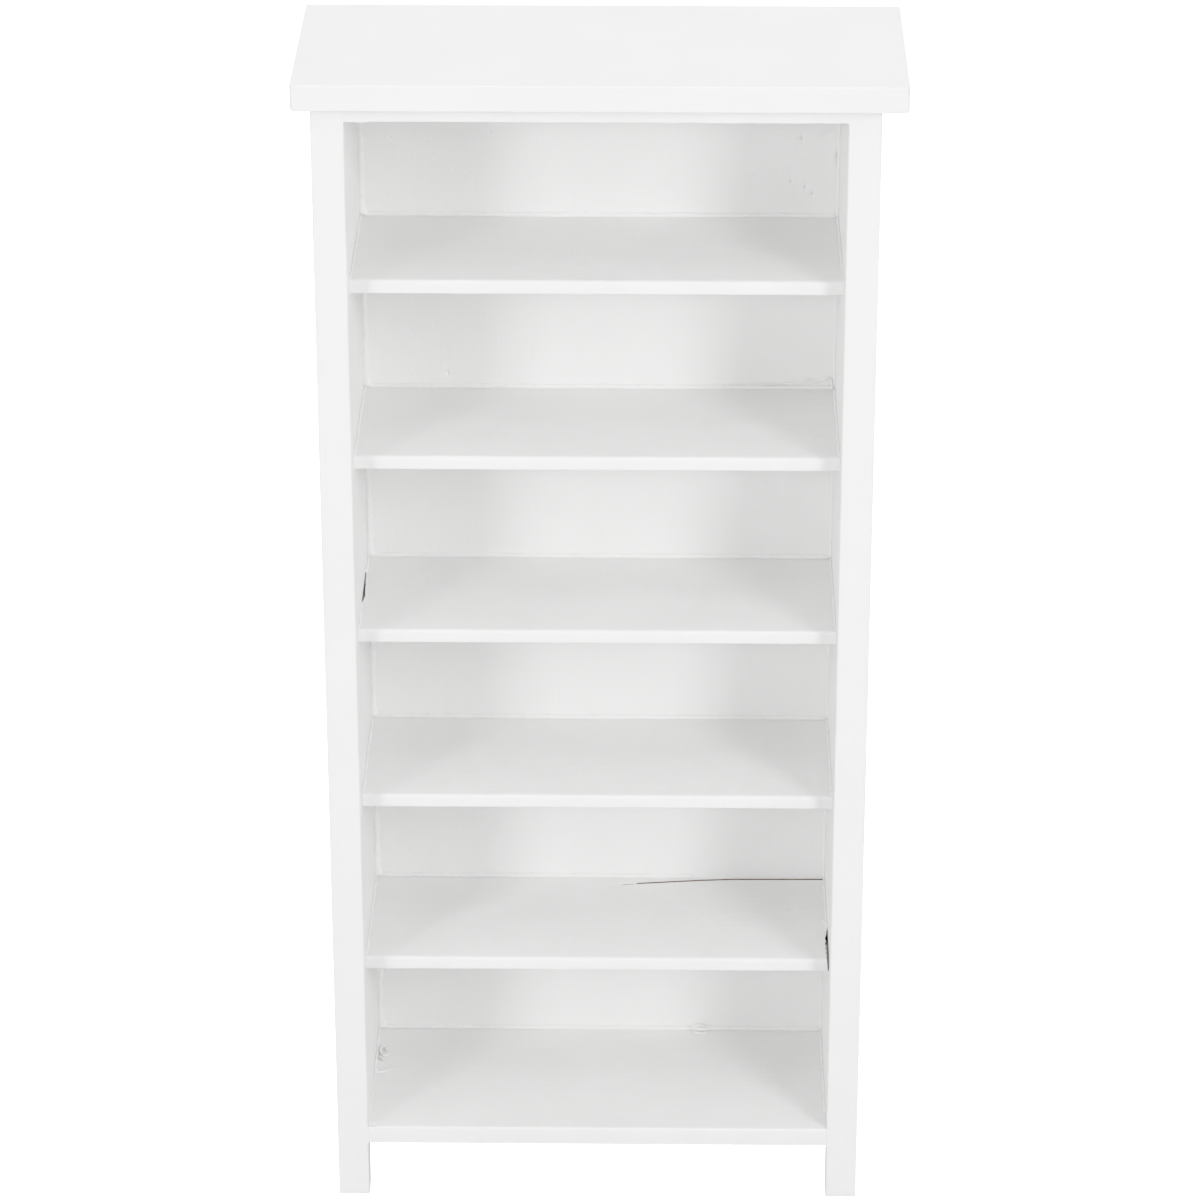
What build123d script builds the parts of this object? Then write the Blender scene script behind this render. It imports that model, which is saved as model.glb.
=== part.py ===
from build123d import *
import os

os.makedirs("parts", exist_ok=True)

# Miniature bookcase for a dolls' house, one twelfth of full size, in millimetres.
# A cap board on four square posts, with thin side and back panels between the posts
# and flat boards butt-jointed and glued between the panels.
# +Z is up and the open front faces -Y. The origin is on the floor, below the middle
# of the cap board, which is the widest and deepest piece.

# Overall sizes
overall_height = 152.0
body_width = 66.75
body_depth = 27.5

# Square posts, whose lower ends are the feet
post_width = 3.95
post_depth = 3.7
post_edge_radius = 0.25
foot_edge_radius = 0.2

# Cap board
cap_width = 71.95
cap_thickness = 3.25
cap_front_overhang = 2.1
cap_side_shift = 0.45
cap_corner_radius = 0.5
cap_top_radius = 0.15
cap_bottom_radius = 0.2

# Side and back panels
side_panel_thickness = 2.3
back_panel_thickness = 1.9
interior_depth = 25.1
panel_edge_radius = 0.25

# Upper board, just below the cap, and bottom board: both reach the posts' front faces
upper_board_thickness = 1.95
bottom_board_thickness = 2.45
bottom_board_top = 10.2
board_lower_radius = 0.12
board_upper_radius = 0.3

# Shelves, set back behind the front posts. They were spaced by hand, a little unevenly.
shelf_thickness = 1.75
shelf_setback = 3.6
shelf_lower_radius = 0.15
shelf_upper_radius = 0.45
shelf_tops = [125.6, 102.7, 79.4, 56.5, 33.2]

# Two shelves don't quite reach a side panel all along. For each: which end it is (-1 left, 1 right)
# and the outline of the open gap, as (distance back from the shelf's front, width of the gap).
shelf_end_gaps = {
    3: (-1, [(7.5, 0), (9.5, 0.3), (13.0, 0.2), (18.0, 0)]),
    5: (1, [(0, 0), (0, 0.25), (2.0, 0.35), (5.0, 0.4), (7.0, 0.15), (8.5, 0)]),
}

# Worked out from the sizes above
overall_depth = body_depth + cap_front_overhang
body_centre = -cap_side_shift
front = cap_front_overhang - overall_depth / 2
rear = overall_depth / 2
back_face = front + interior_depth
cap_underside = overall_height - cap_thickness
upper_board_underside = cap_underside - upper_board_thickness
bottom_board_underside = bottom_board_top - bottom_board_thickness
outer_half = body_width / 2
inner_half = outer_half - post_width
interior_x = (body_centre - inner_half, body_centre + inner_half)
side_panel_front = front + post_depth
side_panel_rear = rear - post_depth


def block(x_span, y_span, z_span):
    """A box between pairs of coordinates."""
    size = [high - low for low, high in (x_span, y_span, z_span)]
    low_corner = (x_span[0], y_span[0], z_span[0])
    return Pos(*low_corner) * Box(*size, align=(Align.MIN, Align.MIN, Align.MIN))


def edge_along_x(shape, y, z):
    """The straight edge that runs left to right at the given depth and height."""
    return shape.edges().filter_by(Axis.X).sort_by_distance((body_centre, y, z))[0]


def cap_board():
    """The overhanging board on top, eased all round and a little rounder along its upper edges."""
    x_span = (-cap_width / 2, cap_width / 2)
    board = block(x_span, (-overall_depth / 2, rear), (cap_underside, overall_height))
    board = fillet(board.edges().filter_by(Axis.Z), cap_corner_radius)
    board = fillet(board.faces().sort_by(Axis.Z)[-1].edges(), cap_top_radius)
    return fillet(board.faces().sort_by(Axis.Z)[0].edges(), cap_bottom_radius)


def post_stretch(z_span, eased):
    """A length of post centred on the Z axis. eased holds the (x, y) signs of its rounded edges."""
    section = Rectangle(post_width, post_depth)
    corners = [section.vertices().sort_by_distance((x * post_width, y * post_depth, 0))[0] for x, y in eased]
    return Pos(0, 0, z_span[0]) * extrude(fillet(corners, post_edge_radius), z_span[1] - z_span[0])


def post(side, end):
    """One post. side is -1 at the left and 1 at the right, end is -1 at the front and 1 at the rear.

    Edges are eased where they are exposed and stay square where a board or panel meets them flush.
    """
    outer = [(side, -1), (side, 1)]
    open_edge = [(-side, end)]
    behind_panel = open_edge if end > 0 else []
    foot = post_stretch((0, bottom_board_underside), outer + [(-side, -1), (-side, 1)])
    foot = fillet(foot.faces().sort_by(Axis.Z)[0].edges(), foot_edge_radius)
    beside_bottom = post_stretch((bottom_board_underside, bottom_board_top), outer + behind_panel)
    beside_opening = post_stretch((bottom_board_top, upper_board_underside), outer + open_edge)
    beside_upper = post_stretch((upper_board_underside, cap_underside), outer + behind_panel)
    x = body_centre + side * (outer_half - post_width / 2)
    y = front + post_depth / 2 if end < 0 else rear - post_depth / 2
    return Pos(x, y, 0) * (foot + beside_bottom + beside_opening + beside_upper)


def side_panel(side):
    """A thin panel between a front and a rear post, flush with their inner faces."""
    faces = sorted(body_centre + side * x for x in (inner_half, inner_half + side_panel_thickness))
    panel = block(faces, (side_panel_front, side_panel_rear), (bottom_board_underside, cap_underside))
    outer_face = panel.faces().sort_by(Axis.X)[-1 if side > 0 else 0]
    return fillet(outer_face.edges().sort_by(Axis.Z)[0], panel_edge_radius)


def back_panel():
    """The back, between the rear posts and set in a little from their rear faces."""
    outer_face = back_face + back_panel_thickness
    panel = block(interior_x, (back_face, outer_face), (bottom_board_underside, cap_underside))
    return fillet(edge_along_x(panel, outer_face, bottom_board_underside), panel_edge_radius)


def flat_board(board_front, z_span, lower_radius, upper_radius=None):
    """A board between the sides, from board_front to the back panel, with eased front edges."""
    board = block(interior_x, (board_front, back_face), z_span)
    board = fillet(edge_along_x(board, board_front, z_span[0]), lower_radius)
    if upper_radius:
        board = fillet(edge_along_x(board, board_front, z_span[1]), upper_radius)
    return board


def shelf(number):
    """One shelf, numbered from the top, with the open gap at its end if it has one."""
    top = shelf_tops[number - 1]
    z_span = (top - shelf_thickness, top)
    shelf_front = front + shelf_setback
    board = flat_board(shelf_front, z_span, shelf_lower_radius, shelf_upper_radius)
    if number in shelf_end_gaps:
        side, outline = shelf_end_gaps[number]
        end = body_centre + side * inner_half
        points = [(end - side * gap, shelf_front + back) for back, gap in outline]
        gap_face = make_face(Polyline(*points, close=True))
        board -= Pos(0, 0, z_span[0]) * extrude(gap_face, shelf_thickness, dir=(0, 0, 1))
    return board


bottom_span = (bottom_board_underside, bottom_board_top)
upper_span = (upper_board_underside, cap_underside)
pieces = {
    "cap_board": cap_board(),
    "upper_board": flat_board(front, upper_span, board_lower_radius),
    "bottom_board": flat_board(front, bottom_span, board_lower_radius, board_upper_radius),
    "back_panel": back_panel(),
}
for side_name, side in (("left", -1), ("right", 1)):
    pieces[f"{side_name}_side_panel"] = side_panel(side)
    pieces[f"front_{side_name}_post"] = post(side, -1)
    pieces[f"rear_{side_name}_post"] = post(side, 1)
for number in range(1, len(shelf_tops) + 1):
    pieces[f"shelf_{number}"] = shelf(number)

for name, piece in pieces.items():
    piece.label = name
    export_step(piece, f"parts/{name}.step")
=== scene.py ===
import math

import bpy
import numpy as np
from mathutils import Matrix, Vector, noise


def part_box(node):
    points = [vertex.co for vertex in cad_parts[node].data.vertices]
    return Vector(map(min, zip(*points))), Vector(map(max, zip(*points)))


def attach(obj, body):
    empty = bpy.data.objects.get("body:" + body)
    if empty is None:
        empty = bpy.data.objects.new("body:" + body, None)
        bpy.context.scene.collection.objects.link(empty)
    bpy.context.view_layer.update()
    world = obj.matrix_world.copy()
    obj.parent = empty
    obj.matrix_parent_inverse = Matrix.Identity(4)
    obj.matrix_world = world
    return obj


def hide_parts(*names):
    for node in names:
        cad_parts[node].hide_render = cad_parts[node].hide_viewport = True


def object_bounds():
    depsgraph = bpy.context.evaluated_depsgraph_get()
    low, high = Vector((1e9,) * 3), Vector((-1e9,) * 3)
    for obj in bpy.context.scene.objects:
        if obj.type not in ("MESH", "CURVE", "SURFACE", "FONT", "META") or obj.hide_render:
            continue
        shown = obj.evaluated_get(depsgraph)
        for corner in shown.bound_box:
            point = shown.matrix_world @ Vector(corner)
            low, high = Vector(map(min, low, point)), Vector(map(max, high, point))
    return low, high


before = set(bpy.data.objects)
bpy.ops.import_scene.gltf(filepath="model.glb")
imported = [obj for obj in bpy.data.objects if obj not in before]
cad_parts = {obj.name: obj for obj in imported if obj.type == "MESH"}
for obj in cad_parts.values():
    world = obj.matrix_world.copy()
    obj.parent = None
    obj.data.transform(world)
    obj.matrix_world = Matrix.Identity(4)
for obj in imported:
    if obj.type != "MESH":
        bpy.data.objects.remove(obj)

# A dolls' house bookcase in white-painted wood. Every board keeps the place and size of its CAD node,
# and is rebuilt as a finer mesh with eased edges and the unevenness of sanded, hand-painted wood.
# Rolls of paint and glue run along the joints inside. Everything is in metres in the CAD frame.

MM = 0.001
X, Y, Z = 0, 1, 2
CAD_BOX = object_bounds()

# Where mesh lines lie across an eased edge, and the least gap between lines as a share of a cell
EASE_STEPS = (0.0, 0.12, 0.32, 0.62, 1.0)
LINE_GAP = 0.2

# How near an edge the unevenness turns the corner if it isn't eased, how an eased edge fades out where it
# stops short, and rounding allowances
DEFAULT_MARGIN = 0.2 * MM
STOP_RUN = 0.5 * MM
ON_FACE = 1e-7
TINY = 1e-9
SMOOTH_ANGLE = math.radians(50)

# Mesh cell sizes
CAP_CELL = (0.6 * MM, 0.6 * MM, 0.6 * MM)
POST_CELL = (0.7 * MM, 0.7 * MM, 0.8 * MM)
PANEL_CELL = (0.8 * MM, 0.8 * MM, 0.8 * MM)
UPPER_BOARD_CELL = 0.5 * MM
BOTTOM_BOARD_CELL = 0.35 * MM
SHELF_CELL = 0.3 * MM
FLAT_CELL_HEIGHT = 0.5 * MM

# The unevenness that the eye reads as painted by hand: its depth, and its noise cells per metre
WAVE, CAP_WAVE = 0.03 * MM, 0.05 * MM
WAVE_RATES = (75.0, 210.0)
RIPPLE = 0.02 * MM
RIPPLE_RATES = (260.0, 900.0, 260.0)
GRIT, ROUGHER_GRIT = 0.018 * MM, 0.036 * MM
GRIT_RATES = (1500.0, 900.0, 1500.0)

# Edge radii. Only the lower edges at the cap's two ends are rounder than in the CAD model.
CAP_CORNER_EASE = 0.5 * MM
CAP_UPPER_EASE = 0.15 * MM
CAP_LOWER_EASE = 0.2 * MM
CAP_END_EASE = 0.4 * MM
POST_EASE = 0.25 * MM
FOOT_EASE = 0.2 * MM
PANEL_EASE = 0.25 * MM
BOARD_LOWER_EASE = 0.12 * MM
BOARD_UPPER_EASE = 0.3 * MM
SHELF_LOWER_EASE = 0.15 * MM
SHELF_UPPER_EASE = 0.45 * MM

# The inside of the bookcase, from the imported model. Levels run from the top compartment down.
SHELVES = [f"shelf_{number}" for number in range(1, 6)]
LEFT, FRONT, BOARD_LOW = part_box("bottom_board")[0]
RIGHT, BACK, BOARD_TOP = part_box("bottom_board")[1]
SHELF_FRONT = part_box("shelf_1")[0].y
CEILINGS = [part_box(node)[0].z for node in ["upper_board", *SHELVES]]
FLOORS = [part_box(node)[1].z for node in [*SHELVES, "bottom_board"]]


# ---------------------------------------------------------------- meshes

def new_object(name, vertices, faces, materials, coats=None):
    """A mesh object with smooth shading that breaks at sharp edges. coats picks each face's material."""
    mesh = bpy.data.meshes.new(name)
    mesh.from_pydata([tuple(v) for v in vertices], [], [tuple(f) for f in faces])
    for material in materials:
        mesh.materials.append(material)
    if coats is not None:
        mesh.polygons.foreach_set("material_index", coats.astype(np.int32))
    mesh.validate()
    mesh.shade_smooth()
    mesh.set_sharp_from_angle(angle=SMOOTH_ANGLE)
    piece = bpy.data.objects.new(name, mesh)
    bpy.context.scene.collection.objects.link(piece)
    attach(piece, "root")
    return piece


def grid_lines(low, high, cell, ease_low, ease_high, stops):
    """Positions of the mesh lines along one axis, closer together where an edge is eased."""
    steps = np.array(EASE_STEPS)
    middle = (low + ease_low, high - ease_high)
    count = max(1, round((middle[1] - middle[0]) / cell))
    fixed = np.concatenate([low + ease_low * steps, high - ease_high * steps, stops])
    fixed = np.unique(np.round(fixed, 8))
    spread = np.linspace(middle[0], middle[1], count + 1)
    nearest = np.abs(spread[:, None] - fixed[None, :]).min(axis=1)
    return np.sort(np.concatenate([fixed, spread[nearest > LINE_GAP * cell]]))


def box_grid(lines):
    """Vertices and outward quads of a closed box whose faces are ruled by the given lines."""
    counts = [len(line) for line in lines]
    places = np.stack(np.meshgrid(*lines, indexing="ij"), axis=-1)
    index = np.arange(np.prod(counts)).reshape(counts)
    quads = []
    for axis in (X, Y, Z):
        for end in (0, -1):
            sheet = np.take(index, end, axis=axis)
            corners = [sheet[:-1, :-1], sheet[1:, :-1], sheet[1:, 1:], sheet[:-1, 1:]]
            outward = (axis == Y) == (end == 0)
            quads.append(np.stack(corners if outward else corners[::-1], axis=-1).reshape(-1, 4))
    quads = np.concatenate(quads)
    used, packed = np.unique(quads, return_inverse=True)
    return places.reshape(-1, 3)[used], packed.reshape(-1, 4)


def depths(points, low, high, axis, side):
    """How far each point lies inside the face on the given side of an axis."""
    inside = points[:, axis] - low[axis] if side < 0 else high[axis] - points[:, axis]
    return np.maximum(inside, 0)


def ease_edge(points, low, high, edge):
    """Rounds one edge of a box grid, and draws the points inside it along. A stopped edge fades out."""
    (axis_a, side_a), (axis_b, side_b), radius, span = edge
    radii = np.full(len(points), radius)
    if span:
        along = points[:, 3 - axis_a - axis_b]
        inside = np.minimum(along - span[0], span[1] - along)
        radii *= np.clip(inside / STOP_RUN, 0, 1) ** 0.5
    depth_a = depths(points, low, high, axis_a, side_a)
    depth_b = depths(points, low, high, axis_b, side_b)
    near = (depth_a < radii) & (depth_b < radii)
    r = radii[near]
    lean_a = 1 - depth_a[near] / r
    lean_b = 1 - depth_b[near] / r
    drawn = r * np.maximum(lean_a, lean_b) / np.maximum(np.hypot(lean_a, lean_b), TINY)
    points[near, axis_a] -= side_a * (r - drawn * lean_a - depth_a[near])
    points[near, axis_b] -= side_b * (r - drawn * lean_b - depth_b[near])


def outward(points, low, high, margins):
    """Unit directions out of a box. A hidden side has no margin and gives no component."""
    core_low = low + np.array([margins[axis][0] for axis in (X, Y, Z)])
    core_high = high - np.array([margins[axis][1] for axis in (X, Y, Z)])
    lean = points - np.clip(points, core_low, core_high)
    lengths = np.linalg.norm(lean, axis=1, keepdims=True)
    return lean / np.maximum(lengths, TINY)


def noise_at(point, rates):
    """Noise at a point, with as many cells per metre along X, Y and Z as rates says."""
    return noise.noise(Vector([place * rate for place, rate in zip(point, rates)]))


def unevenness(point, wave, ripple, grit):
    """How far sanding and paint leave the surface below its nominal plane."""
    slow = noise.noise(point * WAVE_RATES[0]) + 0.5 * noise.noise(point * WAVE_RATES[1])
    quick = noise_at(point, RIPPLE_RATES)
    grain = noise_at(point, GRIT_RATES)
    return wave * (1 + slow / 1.5) / 2 + ripple * (1 + quick) / 2 + grit * (1 + grain) / 2


def board(
    node, paint, cell, edges, hidden=(), ripple=0.0, grit=0.0, wave=WAVE, reshape=None, stops=None, bare=(),
):
    """Rebuilds a CAD board as a fine mesh with eased edges and an uneven painted surface.

    A side is an axis with a sign. edges lists two sides, a radius, and the span along the edge or None.
    Sides in hidden lie flush against a neighbour. The unpainted sides show raw wood, darkened as painted
    shade for the gaps where they show. reshape moves the points of the eased board, and stops adds mesh
    lines for it, listed by axis. wave, ripple and grit are the depths of the unevenness, from the slowest
    to the quickest.
    """
    low, high = (np.array(corner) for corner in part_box(node))
    margins = [[DEFAULT_MARGIN, DEFAULT_MARGIN] for _ in range(3)]
    for (axis_a, side_a), (axis_b, side_b), radius, _ in edges:
        for axis, side in ((axis_a, side_a), (axis_b, side_b)):
            margins[axis][side > 0] = max(margins[axis][side > 0], radius)
    for axis, side in hidden:
        margins[axis][side > 0] = 0
    stops = stops or {}
    lines = [grid_lines(low[a], high[a], cell[a], *margins[a], stops.get(a, ())) for a in (X, Y, Z)]
    points, faces = box_grid(lines)
    coats = np.zeros(len(faces), bool)
    for axis, side in bare:
        on_side = depths(points, low, high, axis, side) < ON_FACE
        coats |= on_side[faces].all(axis=1)
    for edge in edges:
        ease_edge(points, low, high, edge)
    inward = -outward(points, low, high, margins)
    for i, point in enumerate(points):
        points[i] = point + inward[i] * unevenness(Vector(point), wave, ripple, grit)
    if reshape:
        reshape(points, low, high)
    piece = new_object(f"painted_{node}", points, faces, [paint, raw_wood_and_shade] if bare else [paint], coats)
    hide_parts(node)
    return piece


def tube(centres, radii, across, up, sides=10):
    """Vertices and faces of a closed round tube. Its rings lie in the plane of across and up."""
    angles = np.linspace(0, 2 * np.pi, sides, endpoint=False)[None, :, None]
    ring = np.cos(angles) * across[:, None, :] + np.sin(angles) * up[:, None, :]
    points = centres[:, None, :] + radii[:, None, None] * ring
    index = np.arange(len(centres) * sides).reshape(len(centres), sides)
    ahead = np.roll(index, -1, axis=1)
    quads = np.stack([index[:-1], ahead[:-1], ahead[1:], index[1:]], axis=-1).reshape(-1, 4).tolist()
    return points.reshape(-1, 3), quads + [index[0][::-1].tolist(), index[-1].tolist()]


def joined(name, parts, material):
    """One piece from several closed shells, each given as vertices and faces."""
    vertices, faces = [], []
    for points, polygons in parts:
        faces += [[corner + len(vertices) for corner in polygon] for polygon in polygons]
        vertices += list(points)
    piece = new_object(name, vertices, faces, [material])


# ---------------------------------------------------------------- materials

class Nodes:
    """Short forms for building a material's node tree."""

    def __init__(self, name):
        self.material = bpy.data.materials.new(name)
        self.material.use_nodes = True
        self.tree = self.material.node_tree
        self.shader = self.tree.nodes["Principled BSDF"]
        self.place = self.add("ShaderNodeTexCoord").outputs["Object"]

    def add(self, kind, inputs=(), **settings):
        node = self.tree.nodes.new(kind)
        for key, value in settings.items():
            setattr(node, key, value)
        for key, value in dict(inputs).items():
            self.set(node.inputs[key], value)
        return node

    def set(self, socket, value):
        if isinstance(value, bpy.types.NodeSocket):
            self.tree.links.new(value, socket)
        else:
            socket.default_value = value

    def noise(self, stretch, detail=3.0, roughness=0.55, distortion=0.0):
        """Fractal noise whose cell size is given along X, Y and Z, in metres."""
        scale = self.add("ShaderNodeMapping", {"Vector": self.place})
        scale.inputs["Scale"].default_value = [1 / s for s in stretch]
        made = self.add(
            "ShaderNodeTexNoise",
            {"Vector": scale.outputs[0], "Scale": 1.0, "Detail": detail, "Roughness": roughness,
             "Distortion": distortion},
        )
        return made.outputs["Fac"]

    def ramp(self, value, low, high, start, end):
        """Maps value from low..high to start..end, clamped."""
        made = self.add(
            "ShaderNodeMapRange",
            {"Value": value, "From Min": low, "From Max": high, "To Min": start, "To Max": end},
        )
        return made.outputs["Result"]

    def math(self, operation, a, b):
        made = self.add("ShaderNodeMath", operation=operation)
        self.set(made.inputs[0], a)
        self.set(made.inputs[1], b)
        return made.outputs[0]

    def total(self, *weighted):
        """Sum of (value, weight) pairs."""
        terms = [self.math("MULTIPLY", value, weight) for value, weight in weighted]
        result = terms[0]
        for term in terms[1:]:
            result = self.math("ADD", result, term)
        return result

    def mix(self, factor, a, b):
        made = self.add("ShaderNodeMix", data_type="RGBA")
        self.set(made.inputs["Factor"], factor)
        self.set(made.inputs["A"], a)
        self.set(made.inputs["B"], b)
        return made.outputs["Result"]

    def bump(self, height, distance):
        made = self.add("ShaderNodeBump", {"Height": height, "Strength": 1.0, "Distance": distance})
        self.set(self.shader.inputs["Normal"], made.outputs[0])


# The paint where it is thick and where the wood dulls it, and raw wood made dark as painted shade for the
# gaps
WHITE = (0.863, 0.860, 0.857, 1)
SHADE = (0.836, 0.833, 0.829, 1)
SHADED_SAWN_DARK = (0.10, 0.06, 0.035, 1)
SHADED_SAWN_LIGHT = (0.24, 0.16, 0.10, 1)


def along_grain(axis, across, along):
    """Noise cell sizes for wood grain that runs along one axis."""
    return [along if a == axis else across for a in (X, Y, Z)]


def painted_wood(name, axis, grain, rough_coat):
    """Satin white paint over wood: grain showing through, brush drag, orange peel, dust nibs, mottling."""
    n = Nodes(name)
    fibres = n.noise(along_grain(axis, 0.32 * MM, 7 * MM), detail=4.0, roughness=0.65)
    drag = n.noise(along_grain(axis, 0.9 * MM, 22 * MM), detail=2.0, distortion=0.6)
    peel = n.noise((0.3 * MM,) * 3, detail=3.0, roughness=0.7)
    patches = n.ramp(n.noise((7 * MM,) * 3, detail=2.0), 0.42, 0.62, 0.25, 1.0)
    nibs = n.ramp(n.noise((0.75 * MM,) * 3, detail=0.0), 0.74, 0.84, 0.0, 1.0)
    cloud = n.noise((9 * MM,) * 3, detail=2.0)
    coat = n.math("MULTIPLY", peel, patches)
    n.bump(n.total((fibres, grain), (drag, 0.35 * grain), (coat, rough_coat), (nibs, 0.5)), 0.04 * MM)
    tone = n.total((cloud, 0.6), (fibres, 0.4))
    n.set(n.shader.inputs["Base Color"], n.mix(n.ramp(tone, 0.32, 0.66, 0.0, 1.0), SHADE, WHITE))
    n.set(n.shader.inputs["Roughness"], n.ramp(peel, 0.3, 0.7, 0.5, 0.64))
    n.shader.inputs["Specular IOR Level"].default_value = 0.25
    return n.material


def dried_paint(name):
    """Paint and glue squeezed from a joint: smoother and glossier than the boards, a little lumpy."""
    n = Nodes(name)
    lumps = n.noise((0.5 * MM,) * 3, detail=2.0)
    peel = n.noise((0.15 * MM,) * 3, detail=2.0)
    n.bump(n.total((lumps, 1.0), (peel, 0.4)), 0.04 * MM)
    n.set(n.shader.inputs["Base Color"], n.mix(n.ramp(lumps, 0.35, 0.65, 0.0, 1.0), SHADE, WHITE))
    n.set(n.shader.inputs["Roughness"], n.ramp(peel, 0.3, 0.7, 0.36, 0.48))
    n.shader.inputs["Specular IOR Level"].default_value = 0.45
    return n.material


def sawn_wood_and_shade(name):
    """Unpainted sawn wood, darkened past its own colour as painted shade, which shows only inside the open
    joints and the crack.
    """
    n = Nodes(name)
    fibres = n.noise(along_grain(X, 0.15 * MM, 2 * MM), detail=4.0, roughness=0.7)
    pores = n.noise((0.2 * MM,) * 3, detail=3.0, roughness=0.8)
    n.bump(n.total((fibres, 1.0), (pores, 0.6)), 0.08 * MM)
    n.set(n.shader.inputs["Base Color"], n.mix(n.ramp(fibres, 0.35, 0.65, 0.0, 1.0), SHADED_SAWN_DARK, SHADED_SAWN_LIGHT))
    n.set(n.shader.inputs["Roughness"], n.ramp(pores, 0.3, 0.7, 0.75, 0.9))
    return n.material


frame_paint = painted_wood("frame_paint", Z, 0.6, 0.4)
cap_paint = painted_wood("cap_paint", X, 0.6, 0.4)
panel_paint = painted_wood("panel_paint", Z, 0.4, 0.4)
shelf_paint = painted_wood("shelf_paint", X, 1.0, 2.4)
joint_paint = dried_paint("joint_paint")
# Sawn wood for the gaps and the crack, whose darkness is painted shade
raw_wood_and_shade = sawn_wood_and_shade("raw_wood_and_shade")


# ---------------------------------------------------------------- small damage

# Mesh lines drawn near a pit, as multiples of its reach
PIT_STEPS = (-1.6, -1.0, -0.5, 0.0, 0.5, 1.0, 1.6)

# How far in from a shelf's end the outline of an open joint is looked for
END_REACH = 1 * MM


def press(points, place, radius, push):
    """Pushes points around a place, most at its middle: a dent or a pit, or a drip if pushed outward."""
    away = np.linalg.norm((points - np.array(place)) / radius, axis=1)
    points += np.exp(-away[:, None] ** 2) * np.array(push)


def lines_near(places, reach):
    """Mesh lines close together around each place along one axis."""
    return [place + reach * step for place in places for step in PIT_STEPS]


def end_outline(node, side):
    """How far one end of a CAD shelf stands off the side panel: places along Y, and the gap at each."""
    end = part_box(node)[side > 0].x
    corners = [vertex.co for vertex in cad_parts[node].data.vertices]
    near = [corner for corner in corners if abs(corner.x - end) < END_REACH]
    marks = sorted({(round(corner.y, 7), round(abs(corner.x - end), 7)) for corner in near})
    return np.array(marks).T


# ---------------------------------------------------------------- cap, posts and panels

SIDES = ((X, -1), (X, 1), (Y, -1), (Y, 1))

# An eased stretch that ends this far away runs past the end of its post
FAR = 1.0


def cap():
    """The overhanging cap board, with its corners and its lower end edges rounder than the rest."""
    edges = [((X, a), (Y, b), CAP_CORNER_EASE, None) for a in (-1, 1) for b in (-1, 1)]
    for side in SIDES:
        edges.append((side, (Z, 1), CAP_UPPER_EASE, None))
        edges.append((side, (Z, -1), CAP_END_EASE if side[0] == X else CAP_LOWER_EASE, None))
    piece = board("cap_board", cap_paint, CAP_CELL, edges, wave=CAP_WAVE)


def post(node, side, end, reshape=None):
    """One post. Its inner edges are eased only where no board or panel meets them flush."""
    upper_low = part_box("upper_board")[0].z
    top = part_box(node)[1].z
    opening = (BOARD_TOP, upper_low) if end < 0 else (-FAR, top + FAR)
    edges = [((X, side), (Y, -1), POST_EASE, None), ((X, side), (Y, 1), POST_EASE, None)]
    edges.append(((X, -side), (Y, end), POST_EASE, opening))
    edges.append(((X, -side), (Y, -end), POST_EASE, (-FAR, BOARD_LOW)))
    if end < 0:
        edges.append(((X, -side), (Y, end), POST_EASE, (-FAR, BOARD_LOW)))
    edges += [(face, (Z, -1), FOOT_EASE, None) for face in SIDES]
    stops = [z + d for z in (BOARD_LOW, BOARD_TOP, upper_low) for d in (-STOP_RUN, 0, STOP_RUN)]
    hidden = [(Z, 1), (Y, -end)]
    piece = board(node, frame_paint, POST_CELL, edges, hidden=hidden, stops={Z: stops}, reshape=reshape)


KNOCK_HEIGHT = 120.8 * MM
KNOCK_RADIUS = 0.6 * MM
KNOCK_PUSH = (0.16 * MM, 0.12 * MM, 0)


def dented_edge(points, low, high):
    """A knock on the outer front edge of the left post."""
    press(points, (low[X], low[Y], KNOCK_HEIGHT), KNOCK_RADIUS, KNOCK_PUSH)


# Pits in the back panel: place right of and above its lower left corner, and half width and height, in mm.
# The last one is the slit. PIT_REACH is how far into the wood a pit's pull reaches.
PITS = [
    (3.8, 128.05, 0.1, 0.08),
    (16.1, 128.9, 0.1, 0.22),
    (54.2, 128.15, 0.14, 0.2),
    (52.9, 122.55, 0.12, 0.12),
    (54.7, 121.75, 0.14, 0.14),
    (55.6, 120.85, 0.13, 0.16),
    (10.5, 96.85, 0.12, 0.12),
    (58.5, 125.75, 0.12, 0.8),
]
PIT_REACH = 0.3
PIT_LINE_REACH = 0.12 * MM


def pitted(points, low, high):
    """Pinholes in the paint of the back panel, and a slit at its right edge."""
    for right, up, half_width, half_height in PITS:
        place = (low[X] + right * MM, low[Y], low[Z] + up * MM)
        size = np.array((half_width, PIT_REACH, half_height)) * MM
        press(points, place, size, (0, 2 * half_width * MM, 0))


def panels():
    """The two side panels and the back panel."""
    for name, side in (("left", -1), ("right", 1)):
        piece = board(
            f"{name}_side_panel", panel_paint, PANEL_CELL, [((X, side), (Z, -1), PANEL_EASE, None)],
            hidden=[(Y, -1), (Y, 1), (Z, 1)],
        )
    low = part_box("back_panel")[0]
    stops = {
        X: lines_near([low.x + right * MM for right, _, _, _ in PITS], PIT_LINE_REACH),
        Z: lines_near([low.z + up * MM for _, up, _, _ in PITS], PIT_LINE_REACH),
    }
    piece = board(
        "back_panel", panel_paint, PANEL_CELL, [((Y, 1), (Z, -1), PANEL_EASE, None)],
        hidden=[(X, -1), (X, 1), (Z, 1)], stops=stops, reshape=pitted,
    )


# ---------------------------------------------------------------- boards and shelves

# Drips below the front edge of the upper board: places along X, and how far they hang, in mm
DRIPS = [(-29.0, 0.1), (-28.1, 0.16), (-27.2, 0.08), (8.3, 0.12), (15.2, 0.08), (18.7, 0.09), (23.1, 0.13)]
DRIP_SETBACK = 0.2 * MM
DRIP_RADIUS = 0.4 * MM

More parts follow.
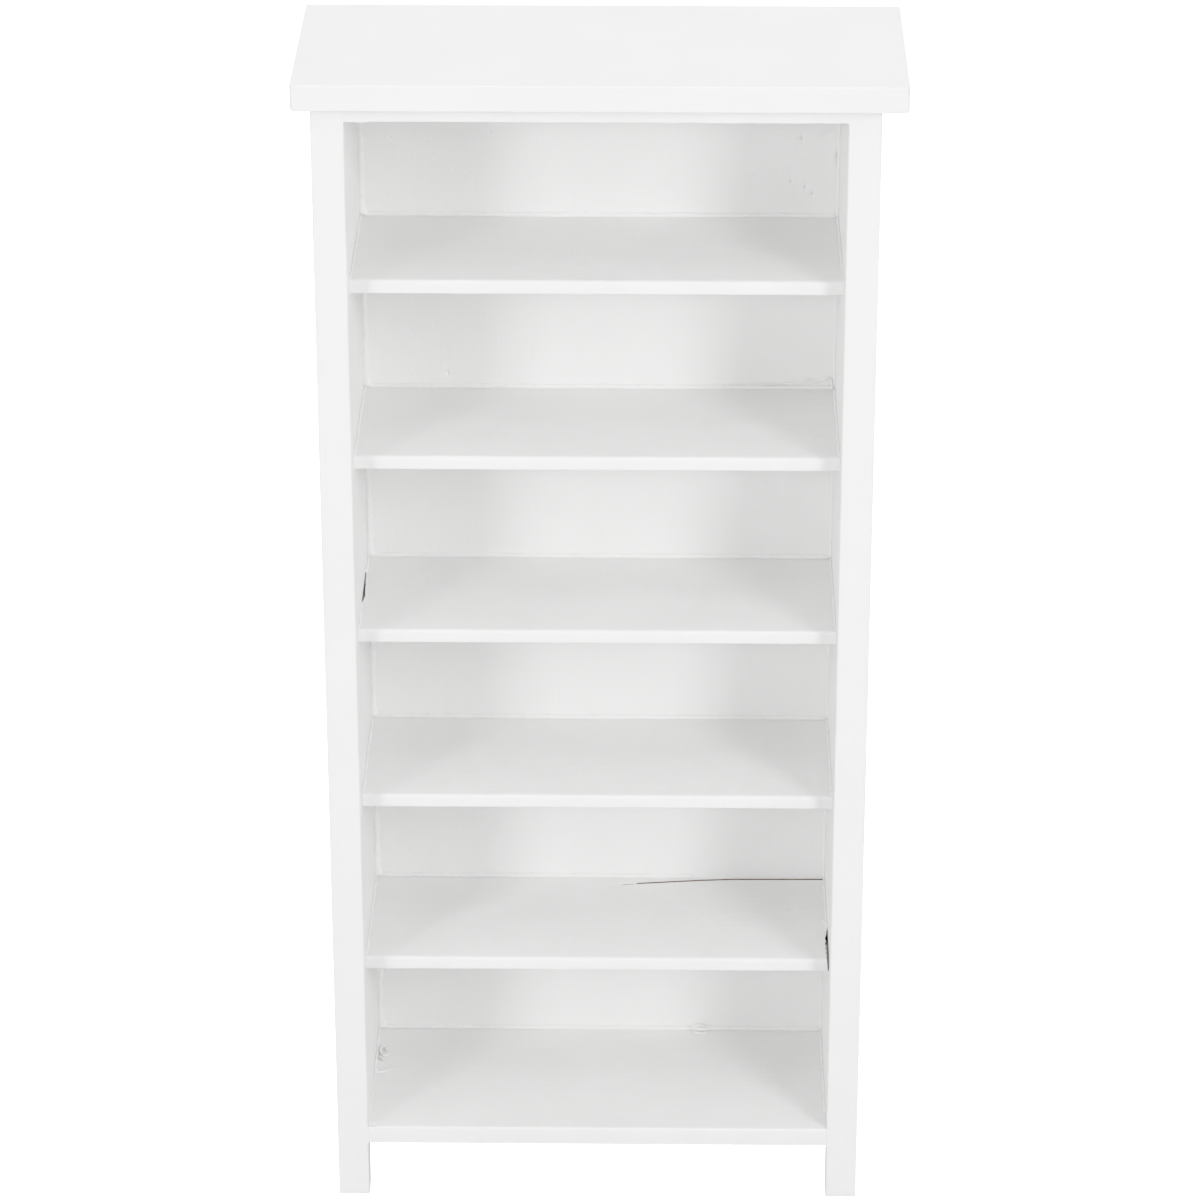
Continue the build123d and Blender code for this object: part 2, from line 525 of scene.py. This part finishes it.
# A pocket in the paint of the bottom board: right of and behind its front left corner
POCKET_PLACE = (0.5 * MM, 0.65 * MM)
POCKET_RADIUS = 0.38 * MM
POCKET_DEPTH = 0.5 * MM

# Flecks along the lower front edge of the bottom board: about where they are along X, in mm
FLECKS = np.arange(-27, 28, 3.1)
FLECK_SCATTER = 1.4
FLECK_HEIGHT = 0.35 * MM
FLECK_RADIUS = 0.3 * MM
FLECK_DEPTH = 0.07 * MM


def dripping(points, low, high):
    """Drips of paint along the lower front edge of the upper board."""
    for x, hang in DRIPS:
        press(points, (x * MM, low[Y] + DRIP_SETBACK, low[Z]), DRIP_RADIUS, (0, 0, -hang * MM))


def scuffed(points, low, high):
    """A pocket in the paint at the bottom board's front left corner, and flecks on its lower front edge."""
    pocket = (low[X] + POCKET_PLACE[0], low[Y] + POCKET_PLACE[1], high[Z])
    press(points, pocket, POCKET_RADIUS, (0, 0, -POCKET_DEPTH))
    for x in FLECKS:
        shift = FLECK_SCATTER * noise.noise(Vector((x, 3.0, 0)))
        place = ((x + shift) * MM, low[Y], low[Z] + FLECK_HEIGHT)
        press(points, place, FLECK_RADIUS, (0, FLECK_DEPTH, 0))


# A crack across the back of the lowest shelf's top: places along X and Y, and its depth there, in mm
CRACK = (
    (0.0, 10.3, 0.0), (2.3, 10.45, 0.1), (4.0, 10.65, 0.15), (4.9, 10.76, 0.45), (7.5, 11.06, 0.5),
    (12.8, 11.67, 0.8), (16.7, 11.99, 1.0), (29.1, 12.15, 1.1),
)
# The crack is cut along a mesh line, which lies here before it is slid to the crack's place. Lines in
# front of it are drawn along less and less over the run. The lip widens the crack's mouth a little.
CRACK_REST = BACK - 1.1 * MM
CRACK_RUN = 4 * MM
CRACK_HALF = 0.14 * MM
CRACK_LIP = 1.15
CRACK_STEPS = (-1.2, -0.6, 0, 0.6, 1.2)
TOP_SKIN = 0.1 * MM

# Rear faces of the cracked shelf that lie this far below its top and above its underside are raw wood,
# darkened as painted shade for the crack
PAINT_DEPTH = 0.12 * MM
UNDERSIDE_SKIN = 0.1 * MM

# A shelf's open end: where its mesh lines lie in from the end, in mm, how far in it is drawn along, how
# ragged it is, and the gaps from which it counts as open and up to which it counts as shut
OPEN_END_STEPS = (0.1, 0.2, 0.35, 0.6, 0.9, 1.2)
OPEN_END_RUN = 1.2 * MM
OPEN_END_RAGGED = 0.5
OPEN_END_RATES = (1400, 500)
OPEN_GAP = 0.1 * MM
SHUT_GAP = 0.06 * MM


def crack(points, high):
    """Opens the crack along a mesh line, which is first slid to the crack's place."""
    place_x, place_y, depth = np.array(CRACK).T * MM
    target = np.interp(points[:, X], place_x, place_y)
    distance = points[:, Y] - CRACK_REST
    before = 1 + (distance + CRACK_HALF) / CRACK_RUN
    behind = 1 - (distance - CRACK_HALF) / (BACK - CRACK_REST - CRACK_HALF)
    share = np.clip(np.minimum(before, behind), 0, 1)
    on_top = points[:, Z] > high[Z] - TOP_SKIN
    inside = np.clip(CRACK_LIP - np.abs(distance) / CRACK_HALF, 0, 1)
    opened = np.interp(points[:, X], place_x, depth) * inside
    points[:, Y] += (target - CRACK_REST) * share
    points[:, Z] -= opened * on_top


def open_end(node, side, points, low, high):
    """Draws an end of a shelf in from the side panel as its CAD node is, with a ragged edge."""
    places, gaps = end_outline(node, side)
    gap = np.interp(points[:, Y], places, gaps)
    rate_y, rate_z = OPEN_END_RATES
    uneven = np.array([noise.noise(Vector((y * rate_y, z * rate_z, side))) for y, z in points[:, 1:]])
    share = np.clip(1 - depths(points, low, high, X, side) / OPEN_END_RUN, 0, 1)
    points[:, X] -= side * gap * share * (1 + OPEN_END_RAGGED * uneven)


OPEN_ENDS = {
    node: side for node in SHELVES for side in (-1, 1) if end_outline(node, side)[1].max() > OPEN_GAP
}


def flat_board(node, slot, eased, cell, hidden, **looks):
    """A horizontal board. eased gives the radius of its lower (-1) and upper (1) front edges.

    cell is the mesh cell's width and depth, and looks goes on to board.
    """
    edges = [((Y, -1), (Z, side), radius, None) for side, radius in eased.items()]
    piece = board(node, shelf_paint, (cell, cell, FLAT_CELL_HEIGHT), edges, hidden=hidden, **looks)
    return piece


def shelf(node):
    """One shelf, with unpainted sawn wood, dark as painted shade, at its ends, rear edge and inside its
    crack.
    """
    buried = [(X, -1), (X, 1), (Y, 1)]
    stops = {}
    if node in OPEN_ENDS:
        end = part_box(node)[OPEN_ENDS[node] > 0].x
        stops[X] = [end - OPEN_ENDS[node] * step * MM for step in OPEN_END_STEPS]
    cracked = node == SHELVES[-1]
    if cracked:
        stops[Y] = [CRACK_REST + CRACK_HALF * step for step in CRACK_STEPS]

    def reshape(points, low, high):
        if cracked:
            crack(points, high)
        if node in OPEN_ENDS:
            open_end(node, OPEN_ENDS[node], points, low, high)

    piece = flat_board(
        node, "painted_shelf", {-1: SHELF_LOWER_EASE, 1: SHELF_UPPER_EASE}, SHELF_CELL, buried,
        ripple=RIPPLE, grit=ROUGHER_GRIT if node == SHELVES[2] else GRIT,
        bare=buried, stops=stops, reshape=reshape,
    )
    # Faces inside the crack and on the rear edge take the sawn wood, whose darkness is painted shade
    if cracked:
        low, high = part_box(node)
        for face in piece.data.polygons:
            within = low.z + UNDERSIDE_SKIN < face.center.z < high.z - PAINT_DEPTH
            if within and face.center.y > 0:
                face.material_index = 1


cap()
for side_name, side in (("left", -1), ("right", 1)):
    post(f"front_{side_name}_post", side, -1, dented_edge if side < 0 else None)
    post(f"rear_{side_name}_post", side, 1)
panels()
flat_board(
    "upper_board", "painted_frame", {-1: BOARD_LOWER_EASE}, UPPER_BOARD_CELL,
    [(X, -1), (X, 1), (Y, 1), (Z, 1)],
    reshape=dripping,
)
flat_board(
    "bottom_board", "painted_shelf", {-1: BOARD_LOWER_EASE, 1: BOARD_UPPER_EASE}, BOTTOM_BOARD_CELL,
    [(X, -1), (X, 1), (Y, 1)],
    ripple=RIPPLE, grit=0.5 * GRIT, reshape=scuffed,
)
for node in SHELVES:
    shelf(node)


# ---------------------------------------------------------------- paint and glue in the joints

# The direction from each wall into the compartment, and how far a roll's middle stands off it, in radii
INTO = {
    "left": (1, 0, 0),
    "right": (-1, 0, 0),
    "back": (0, -1, 0),
    "floor": (0, 0, 1),
    "ceiling": (0, 0, -1),
}
STAND_OFF = {"left": 0.55, "right": 0.55, "back": 0.05, "floor": 0.65, "ceiling": 0.6}

# A roll's mesh step, and the length over which its ends fade. Its radius varies slowly and quickly, each
# by a share of itself and with that many noise cells per metre. The rolls at the boards' ends are torn.
ROLL_STEP = 0.25 * MM
ROLL_FADE = 0.5 * MM
ROLL_SWELL, ROLL_SWELL_RATE = 0.3, 420
ROLL_RAGGED, ROLL_RAGGED_RATE = 0.2, 1900
TORN = 0.6

# Radii of the rolls in each kind of corner
REAR_LOW, REAR_HIGH = 0.32 * MM, 0.13 * MM
CORNER = {"left": 0.46 * MM, "right": 0.18 * MM}
END_LOW = {"left": 0.2 * MM, "right": 0.17 * MM}
END_HIGH = 0.1 * MM
PANEL_X = {"left": LEFT, "right": RIGHT}

# A speck on the top shelf's rear roll: how far along it, its extra radius and its half length
SPECK = (25.2 * MM, 0.12 * MM, 0.5 * MM)

# Rolls in the rear corners swell at the foot, by this share of their radius over this length
FOOT_SWELL, FOOT_SWELL_LENGTH = 0.6, 0.9 * MM

# The lowest shelf's rear roll stops where the crack takes its place
CRACKED_ROLL_END = 12.0 * MM

# The bottom board's end rolls break off for a moment: where each stretch starts and ends along Y
BOTTOM_STRETCHES = [(-8.5 * MM, 2.0 * MM), (2.5 * MM, BACK)]

# Along a shelf's end, the joint is looked at in this many places, and a stretch with so few is left out
STRETCH_SAMPLES = 120
SHORTEST_STRETCH = 3


def roll(start, end, walls, radius, seed, lumps=(), ragged=ROLL_RAGGED):
    """A roll of dried paint along the corner of two walls.

    lumps lists swellings, each as the distance along, the extra radius and the half length.
    """
    out_a, out_b = (np.array(INTO[wall], dtype=float) for wall in walls)
    off_corner = STAND_OFF[walls[0]] * out_a + STAND_OFF[walls[1]] * out_b
    start, end = np.array(start), np.array(end)
    length = np.linalg.norm(end - start)
    ahead = (end - start) / length
    if np.dot(np.cross(out_a, out_b), ahead) < 0:
        out_a, out_b = out_b, out_a
    along = np.linspace(0, length, max(4, round(length / ROLL_STEP)))
    slow = np.array([noise.noise(Vector((s * ROLL_SWELL_RATE, seed, 0))) for s in along])
    quick = np.array([noise.noise(Vector((s * ROLL_RAGGED_RATE, seed, 5))) for s in along])
    radii = radius * (1 + ROLL_SWELL * slow + ragged * quick)
    for place, extra, half in lumps:
        radii += extra * np.exp(-(((along - place) / half) ** 2))
    radii *= np.clip(np.minimum(along, length - along) / ROLL_FADE, 0.1, 1) ** 0.5
    centres = start + ahead * along[:, None] + off_corner * radii[:, None]
    count = len(along)
    return tube(centres, radii, np.tile(out_a, (count, 1)), np.tile(out_b, (count, 1)))


def closed_stretches(node, side):
    """Where the end of a shelf meets the side panel, as (start, end) along Y."""
    places, gaps = end_outline(node, side)
    low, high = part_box(node)
    along = np.linspace(low.y + SHELF_UPPER_EASE, high.y, STRETCH_SAMPLES)
    shut = np.interp(along, places, gaps) < SHUT_GAP
    runs = np.split(np.arange(len(along)), np.flatnonzero(np.diff(shut)) + 1)
    closed = [run for run in runs if shut[run[0]] and len(run) > SHORTEST_STRETCH]
    return [(along[run[0]], along[run[-1]]) for run in closed]


def compartment_joints(level):
    """Rolls along the corners of one compartment. Level 0 is the top one."""
    floor, ceiling = FLOORS[level], CEILINGS[level]
    floor_node = SHELVES[level] if level < len(SHELVES) else None
    front = FRONT if level == 0 else SHELF_FRONT
    rear_end = CRACKED_ROLL_END if floor_node == SHELVES[-1] else RIGHT
    specks = [SPECK] if level == 0 else []
    parts = [
        roll((LEFT, BACK, floor), (rear_end, BACK, floor), ("back", "floor"), REAR_LOW, level, specks),
        roll((LEFT, BACK, ceiling), (RIGHT, BACK, ceiling), ("back", "ceiling"), REAR_HIGH, level + 10),
    ]
    for name, side, seed in (("left", -1, level), ("right", 1, level + 7)):
        x = PANEL_X[name]
        swell = [(0, FOOT_SWELL * CORNER[name], FOOT_SWELL_LENGTH)]
        upright = ((x, BACK, floor), (x, BACK, ceiling))
        parts.append(roll(*upright, (name, "back"), CORNER[name], seed + 20, swell))
        above = ((x, front + SHELF_LOWER_EASE, ceiling), (x, BACK, ceiling))
        parts.append(roll(*above, (name, "ceiling"), END_HIGH, seed + 40))
        stretches = closed_stretches(floor_node, side) if floor_node else BOTTOM_STRETCHES
        for start, end in stretches:
            below = ((x, start, floor), (x, end, floor))
            parts.append(roll(*below, (name, "floor"), END_LOW[name], seed + 60, ragged=TORN))
    joined(f"joint_paint_{level + 1}", parts, joint_paint)


def smooth_path(points, passes=3):
    """Cuts the corners of an open path a few times, which turns it into a smooth curve."""
    path = np.array(points, dtype=float)
    for _ in range(passes):
        near, far = path[:-1], path[1:]
        cut = np.stack([0.75 * near + 0.25 * far, 0.25 * near + 0.75 * far], axis=1)
        path = np.concatenate([path[:1], cut.reshape(-1, path.shape[1]), path[-1:]])
    return path


def strand(points):
    """A string of dried glue through (x, y, z, radius) points, in mm."""
    path = smooth_path(points) * MM
    ahead = np.gradient(path[:, :3], axis=0)
    ahead /= np.linalg.norm(ahead, axis=1, keepdims=True)
    across = np.cross((0, 0, 1), ahead)
    across /= np.linalg.norm(across, axis=1, keepdims=True)
    return tube(path[:, :3], path[:, 3], across, np.cross(ahead, across), sides=8)


def glue_strings():
    """Strings of glue on the bottom board near its left end, and a curled lump of it at the back."""
    top = BOARD_TOP / MM
    strings = [
        [(-29.7, 0.7, top + 0.2, 0.22), (-29.3, 0.62, top + 0.16, 0.2), (-28.8, 0.72, top + 0.12, 0.15),
         (-28.2, 1.1, top + 0.12, 0.13), (-27.8, 1.5, top + 0.08, 0.11), (-27.4, 1.6, top + 0.01, 0.06)],
        [(-28.7, 0.2, top + 0.02, 0.08), (-28.3, -0.05, top + 0.05, 0.1), (-27.9, -0.1, top, 0.06)],
        [(-28.8, 7.4, top + 0.1, 0.12), (-29.3, 6.7, top + 0.25, 0.18), (-29.35, 5.7, top + 0.25, 0.18),
         (-28.9, 4.8, top + 0.15, 0.15), (-28.4, 5.0, top + 0.12, 0.12), (-28.1, 5.5, top, 0.07)],
        [(-28.9, 7.0, top + 0.1, 0.1), (-28.6, 6.4, top + 0.2, 0.13), (-28.3, 6.2, top + 0.04, 0.08)],
        [(-29.5, 4.6, top + 0.1, 0.14), (-29.0, 3.9, top + 0.16, 0.15), (-28.6, 3.5, top, 0.07)],
    ]
    back = BACK / MM
    curl = [
        [(10.9, back - 0.1, top + 0.2, 0.15), (11.6, back - 0.2, top + 0.25, 0.26),
         (12.4, back - 0.3, top + 0.28, 0.3), (13.2, back - 0.4, top + 0.2, 0.28),
         (13.9, back - 0.3, top + 0.2, 0.24), (14.6, back - 0.1, top + 0.15, 0.12)],
        [(11.9, back - 0.6, top + 0.05, 0.12), (12.5, back - 1.0, top + 0.12, 0.22),
         (13.2, back - 1.25, top + 0.08, 0.2), (13.8, back - 0.8, top + 0.05, 0.16)],
        [(11.8, back - 0.15, top + 0.55, 0.16), (12.6, back - 0.25, top + 0.78, 0.24),
         (13.3, back - 0.3, top + 0.72, 0.22), (13.9, back - 0.2, top + 0.5, 0.14)],
    ]
    joined("glue_strings", [strand(points) for points in strings + curl], joint_paint)


def chips():
    """Chips of paint at the open joint of the lowest shelf."""
    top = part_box("shelf_5")[1].z / MM
    crumbs = [
        [(28.3, 1.1, top, 0.05), (28.6, 0.6, top + 0.05, 0.12), (28.8, 0.0, top + 0.05, 0.12),
         (29.0, -0.5, top, 0.08)],
        [(28.9, -0.9, top, 0.06), (28.8, -1.7, top + 0.02, 0.1), (28.6, -2.4, top, 0.05)],
    ]
    joined("paint_chips", [strand(points) for points in crumbs], joint_paint)


def flaked_corner():
    """Lifted paint where the second shelf meets the back panel at its right end."""
    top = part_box("shelf_2")[1].z / MM
    back = BACK / MM
    flakes = [
        [(14.5, back, top + 0.55, 0.05), (18.0, back - 0.08, top + 0.65, 0.1),
         (22.0, back - 0.12, top + 0.7, 0.13), (25.0, back - 0.14, top + 0.95, 0.15),
         (27.0, back - 0.14, top + 1.15, 0.15), (28.2, back - 0.05, top + 1.3, 0.08)],
        [(23.4, back, top + 0.75, 0.06), (24.7, back - 0.1, top + 1.1, 0.11),
         (25.6, back - 0.12, top + 1.35, 0.12), (26.6, back - 0.1, top + 1.2, 0.1),
         (27.3, back, top + 0.9, 0.06)],
        [(26.4, back, top + 0.9, 0.06), (27.6, back - 0.1, top + 1.4, 0.12),
         (28.2, back - 0.14, top + 1.65, 0.14), (28.55, back - 0.2, top + 1.1, 0.13),
         (28.6, back - 0.3, top + 0.2, 0.12)],
    ]
    joined("flaked_corner", [strand(points) for points in flakes], joint_paint)


for level in range(len(FLOORS)):
    compartment_joints(level)
glue_strings()
chips()
flaked_corner()


# ---------------------------------------------------------------- floor, light and camera

# The camera stands in front, a little to the right, and looks down on the bookcase. Its angles are in
# radians, its lens and sensor in mm.
CAMERA_PLACE = (7.83 * MM, -550.8 * MM, 341.5 * MM)
CAMERA_YAW = 0.0146
CAMERA_PITCH = 0.4443
CAMERA_ROLL = -0.001
CAMERA_LENS = 146.8
CAMERA_SENSOR = 36.0
CAMERA_CLIP = (0.01, 20)

# The film's shoulder: how softly it rolls off the whites, and where its display curve has points
SHOULDER = 1.25
CURVE_STEPS = (0.08, 0.2, 0.35, 0.5, 0.65, 0.8)

STAGE_HALF = 4.0
STAGE_ROUGHNESS = 0.9
FLOOR_GREY, FLOOR_GLOW = 0.9, 3.0
UNDER_FLOOR_GREY, UNDER_FLOOR_HEIGHT = 0.5, -0.5 * MM
WORLD_STRENGTH = 0.4

# Softboxes: name, azimuth (0 in front, 90 at the right) and elevation in degrees, width in metres, watts
LAMP_DISTANCE = 0.9
LAMPS = [
    ("overhead", 0, 89, 1.0, 4.1),
    ("behind", 180, 60, 0.5, 4.8),
    ("fill", 0, 58, 0.3, 0.9),
    ("key_left", -38, 17, 0.2, 4.15),
    ("key_right", 33, 17, 0.22, 3.2),
    ("key_right_high", 38, 30, 0.22, 2.2),
    ("side_left", -62, 18, 0.3, 1.6),
    ("side_right", 62, 18, 0.3, 1.7),
]


def stage_sheet(name, height, grey, glow):
    """A wide level sheet of matt grey that may glow, for the stage."""
    corners = [(x * STAGE_HALF, y * STAGE_HALF, height) for x, y in ((-1, -1), (1, -1), (1, 1), (-1, 1))]
    mesh = bpy.data.meshes.new(name)
    mesh.from_pydata(corners, [], [(0, 1, 2, 3)])
    n = Nodes(f"{name}_paint")
    n.shader.inputs["Base Color"].default_value = (grey, grey, grey, 1)
    n.shader.inputs["Roughness"].default_value = STAGE_ROUGHNESS
    n.shader.inputs["Emission Color"].default_value = (1, 1, 1, 1)
    n.shader.inputs["Emission Strength"].default_value = glow
    mesh.materials.append(n.material)
    sheet = bpy.data.objects.new(name, mesh)
    bpy.context.scene.collection.objects.link(sheet)
    return sheet


def floor():
    """A glowing white floor that lights nothing, and a plain grey one below it that reflects light."""
    bright = stage_sheet("floor", 0, FLOOR_GREY, FLOOR_GLOW)
    bright.visible_diffuse = False
    bright.visible_glossy = False
    bright.visible_shadow = False
    stage_sheet("under_floor", UNDER_FLOOR_HEIGHT, UNDER_FLOOR_GREY, 0)


def softbox(name, azimuth, elevation, size, power):
    """A square area light aimed at the middle of the bookcase."""
    centre = (CAD_BOX[0] + CAD_BOX[1]) / 2
    a, e = math.radians(azimuth), math.radians(elevation)
    away = Vector((math.sin(a) * math.cos(e), -math.cos(a) * math.cos(e), math.sin(e)))
    lamp = bpy.data.lights.new(name, "AREA")
    lamp.size = size
    lamp.energy = power
    holder = bpy.data.objects.new(name, lamp)
    holder.location = centre + away * LAMP_DISTANCE
    holder.rotation_euler = (-away).to_track_quat("-Z", "Y").to_euler()
    bpy.context.scene.collection.objects.link(holder)


def camera():
    """A long lens at the height of a person looking down at a tabletop."""
    data = bpy.data.cameras.new("camera")
    data.lens = CAMERA_LENS
    data.sensor_width = CAMERA_SENSOR
    data.clip_start, data.clip_end = CAMERA_CLIP
    holder = bpy.data.objects.new("camera", data)
    ahead = Vector((
        -math.cos(CAMERA_PITCH) * math.sin(CAMERA_YAW),
        math.cos(CAMERA_PITCH) * math.cos(CAMERA_YAW),
        -math.sin(CAMERA_PITCH),
    ))
    turn = ahead.to_track_quat("-Z", "Y").to_matrix() @ Matrix.Rotation(CAMERA_ROLL, 3, "Z")
    holder.matrix_world = Matrix.Translation(CAMERA_PLACE) @ turn.to_4x4()
    bpy.context.scene.collection.objects.link(holder)
    bpy.context.scene.camera = holder


def film():
    """A display curve with a soft shoulder, so that bright paint keeps its shading as in a photograph."""
    view = bpy.context.scene.view_settings
    view.view_transform = "Standard"
    view.use_curve_mapping = True
    white = -SHOULDER * math.log(1 - 1 / SHOULDER)
    mapping = view.curve_mapping
    mapping.white_level = (white, white, white)
    curve = mapping.curves[3]
    for step in CURVE_STEPS:
        curve.points.new(step, SHOULDER * (1 - math.exp(-step * white / SHOULDER)))
    mapping.update()


def surroundings():
    """An even white glow from all round."""
    world = bpy.data.worlds.new("studio")
    world.use_nodes = True
    background = world.node_tree.nodes["Background"]
    background.inputs["Color"].default_value = (1, 1, 1, 1)
    background.inputs["Strength"].default_value = WORLD_STRENGTH
    bpy.context.scene.world = world


floor()
for lamp in LAMPS:
    softbox(*lamp)
camera()
film()
surroundings()
